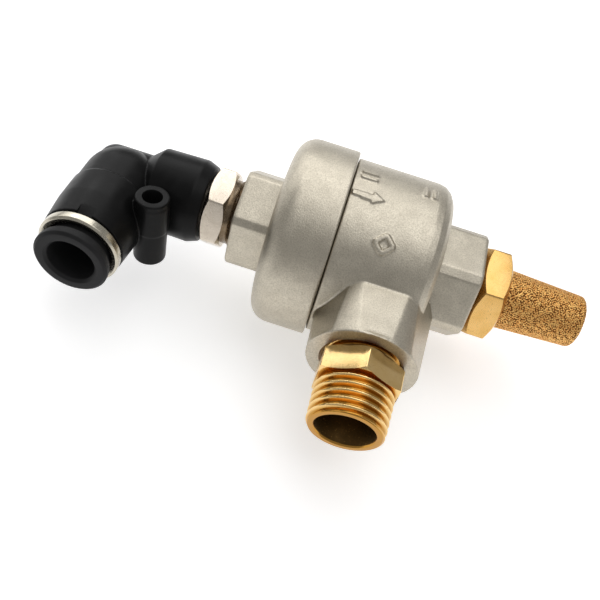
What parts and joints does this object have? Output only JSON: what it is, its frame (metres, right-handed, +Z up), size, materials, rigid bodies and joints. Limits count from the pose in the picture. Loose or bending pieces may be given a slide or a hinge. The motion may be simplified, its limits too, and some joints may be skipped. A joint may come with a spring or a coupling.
{
  "type": "quick exhaust valve with push-in elbow and silencer",
  "caption": "Pneumatic quick exhaust valve: round plated body, swivelling push-in elbow inlet, threaded side outlet nipple and sintered exhaust silencer.",
  "frame": {"origin": "under the middle of the object's extents, at the height of the lowest point of the cap's rim", "axes": "+X along the valve from inlet to exhaust, the outlet points along -Y, +Z up"},
  "size_m": [0.0932, 0.0524, 0.0343],
  "materials": {
    "cast_nickel": "bead-blasted nickel plate over cast brass, satin",
    "bright_nickel": "smooth nickel plate over turned brass",
    "turned_brass": "turned, bright",
    "sintered_bronze": "sintered bronze grains, rough",
    "black_plastic": "moulded, semi-matte",
    "charcoal_plastic": "moulded, semi-matte",
    "white_plastic": "moulded, natural",
    "seal_rubber": "moulded nitrile",
    "polyurethane": "moulded polyurethane",
    "spring_steel": "stamped stainless strip"
  },
  "bodies": {
    "valve": {"valve_body": "cast_nickel", "inlet_cap": "cast_nickel", "cap_o_ring": "seal_rubber", "elbow_stem": "bright_nickel", "stem_o_ring": "seal_rubber", "outlet_nipple": "turned_brass", "silencer_body": "turned_brass", "silencer_element": "sintered_bronze"},
    "elbow": {"elbow_body": "black_plastic", "swivel_retainer": "spring_steel", "tube_seal": "seal_rubber", "seal_spacer": "white_plastic", "grab_ring": "spring_steel", "guide_ring": "white_plastic", "cartridge_ring": "bright_nickel"},
    "collar": {"release_collar": "charcoal_plastic"},
    "shuttle": {"shuttle_cup": "polyurethane"}
  },
  "joints": [
    {"name": "elbow_swivel", "type": "hinge", "parent": "valve", "child": "elbow", "pos_m": [-0.03917, 0.00905, 0.01715], "axis": [1, 0, 0], "continuous": true},
    {"name": "collar_push", "type": "slide", "parent": "elbow", "child": "collar", "axis": [0, 0.9936, -0.1132], "range_m": [0, 0.0009], "stiffness_N_per_m": 2000},
    {"name": "shuttle_slide", "type": "slide", "parent": "valve", "child": "shuttle", "axis": [1, 0, 0], "range_m": [0, 0.0024]}
  ]
}
